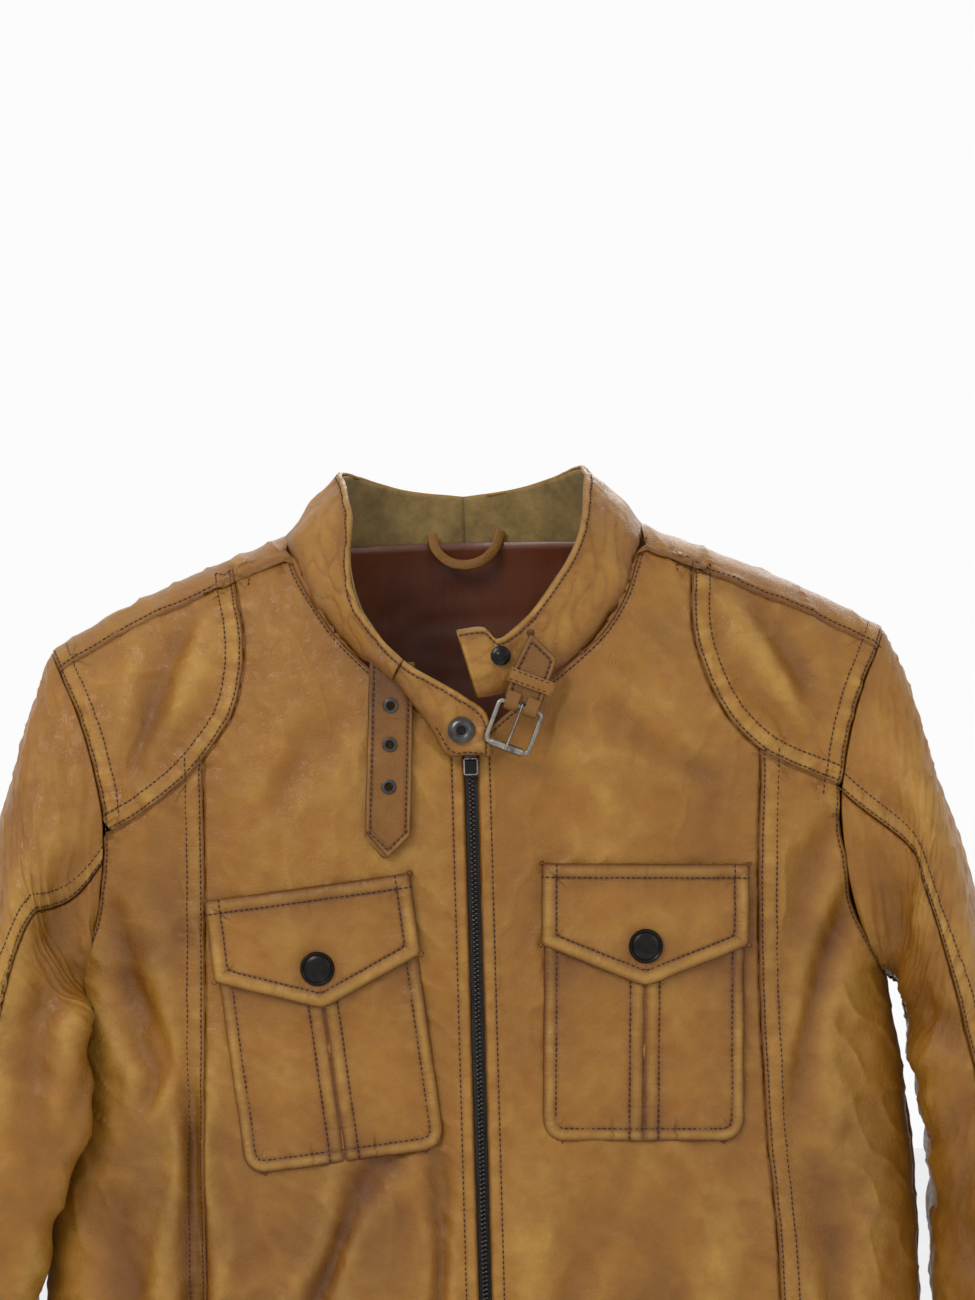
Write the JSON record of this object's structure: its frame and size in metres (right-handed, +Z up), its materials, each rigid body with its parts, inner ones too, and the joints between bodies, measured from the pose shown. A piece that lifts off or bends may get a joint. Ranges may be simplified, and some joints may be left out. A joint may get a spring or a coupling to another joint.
{
  "type": "leather riding jacket",
  "caption": "Hip-length tan leather riding jacket with front zip, stand collar with strap and buckle, flapped chest pockets and curved shoulder patches.",
  "frame": {"origin": "hanger seat, inside the neck on the centre line", "axes": "+Z up, -Y the way the wearer faces, +X the wearer's left"},
  "size_m": [0.7628, 0.1385, 0.7077],
  "materials": {
    "leather": "semi-gloss golden tan, darker along the seams",
    "strap_leather": "semi-gloss tan, two plies",
    "suede_facing": "matt khaki suede",
    "satin_lining": "dark red-brown satin",
    "gunmetal": "dark gunmetal plating",
    "antique_silver": "antique silver, darkened in the hollows",
    "zip_tape": "matt black woven tape"
  },
  "bodies": {
    "shell": {"front_panel_R": "leather", "front_panel_L": "leather", "shoulder_patch_R": "leather", "shoulder_patch_L": "leather", "side_panel_R": "leather", "side_panel_L": "leather", "back_side_panel_R": "leather", "back_side_panel_L": "leather", "back_panel_centre": "leather", "back_yoke": "leather", "hem_band_front_R": "leather", "hem_band_front_L": "leather", "hem_band_back": "leather", "collar": "leather", "pocket_body_R": "leather", "pocket_body_L": "leather", "collar_end": "strap_leather", "strap_base_R": "strap_leather", "strap_base_L": "strap_leather", "strap_keeper": "strap_leather", "collar_facing": "suede_facing", "lining_front_R": "satin_lining", "lining_front_L": "satin_lining", "lining_back": "satin_lining", "zip_teeth_R": "gunmetal", "zip_teeth_L": "gunmetal", "zip_box": "gunmetal", "pocket_snap_stud_R": "gunmetal", "pocket_snap_stud_L": "gunmetal", "collar_snap_socket": "gunmetal", "collar_snap_stud": "gunmetal", "strap_eyelet_1": "gunmetal", "zip_tape_R": "zip_tape", "zip_tape_L": "zip_tape"},
    "sleeve_R": {"top_sleeve_R": "leather", "under_sleeve_R": "leather", "cuff_R": "leather", "sleeve_lining_R": "satin_lining"},
    "sleeve_L": {"top_sleeve_L": "leather", "under_sleeve_L": "leather", "cuff_L": "leather", "sleeve_lining_L": "satin_lining"},
    "slider": {"zip_slider": "gunmetal"},
    "pull": {"zip_pull": "gunmetal"},
    "flap_R": {"pocket_flap_R": "leather", "flap_snap_cap_R": "gunmetal"},
    "flap_L": {"pocket_flap_L": "leather", "flap_snap_cap_L": "gunmetal"},
    "tail": {"strap_tail": "strap_leather", "strap_eyelet_2": "gunmetal", "strap_eyelet_3": "gunmetal"},
    "buckle": {"buckle_frame": "antique_silver"},
    "prong": {"buckle_prong": "antique_silver"},
    "roller": {"buckle_roller": "antique_silver"},
    "loop": {"hang_loop": "strap_leather"}
  },
  "joints": [
    {"name": "sleeve_R_raise", "type": "hinge", "parent": "shell", "child": "sleeve_R", "pos_m": [-0.212, 0, -0.044], "axis": [0, 1, 0], "range_deg": [0, 40]},
    {"name": "sleeve_L_raise", "type": "hinge", "parent": "shell", "child": "sleeve_L", "pos_m": [0.212, 0, -0.044], "axis": [0, -1, 0], "range_deg": [0, 40]},
    {"name": "slider_slide", "type": "slide", "parent": "shell", "child": "slider", "axis": [0, 0, 1], "range_m": [-0.46, 0]},
    {"name": "pull_swing", "type": "hinge", "parent": "slider", "child": "pull", "pos_m": [0, -0.0654, -0.1056], "axis": [-1, 0, 0], "range_deg": [0, 80]},
    {"name": "flap_R_lift", "type": "hinge", "parent": "shell", "child": "flap_R", "pos_m": [-0.0835, -0.0682, -0.167], "axis": [-0.9938, 0, -0.1115], "range_deg": [0, 90]},
    {"name": "flap_L_lift", "type": "hinge", "parent": "shell", "child": "flap_L", "pos_m": [0.086, -0.0682, -0.16], "axis": [-0.9994, 0, 0.0349], "range_deg": [0, 90]},
    {"name": "tail_swing", "type": "hinge", "parent": "shell", "child": "tail", "pos_m": [-0.0394, -0.0672, -0.084], "axis": [-1, 0, 0], "range_deg": [0, 70]},
    {"name": "buckle_tilt", "type": "hinge", "parent": "shell", "child": "buckle", "pos_m": [0.026, -0.073, -0.0797], "axis": [-0.9272, 0, 0.3746], "range_deg": [0, 50]},
    {"name": "prong_swing", "type": "hinge", "parent": "buckle", "child": "prong", "pos_m": [0.026, -0.073, -0.0797], "axis": [-0.9272, 0, 0.3746], "range_deg": [0, 40]},
    {"name": "roller_spin", "type": "hinge", "parent": "buckle", "child": "roller", "pos_m": [0.01798, -0.073, -0.09954], "axis": [0.9272, 0, -0.3746], "continuous": true},
    {"name": "loop_swing", "type": "hinge", "parent": "shell", "child": "loop", "pos_m": [0, 0.038, 0.008], "axis": [-1, 0, 0], "range_deg": [0, 60]}
  ]
}
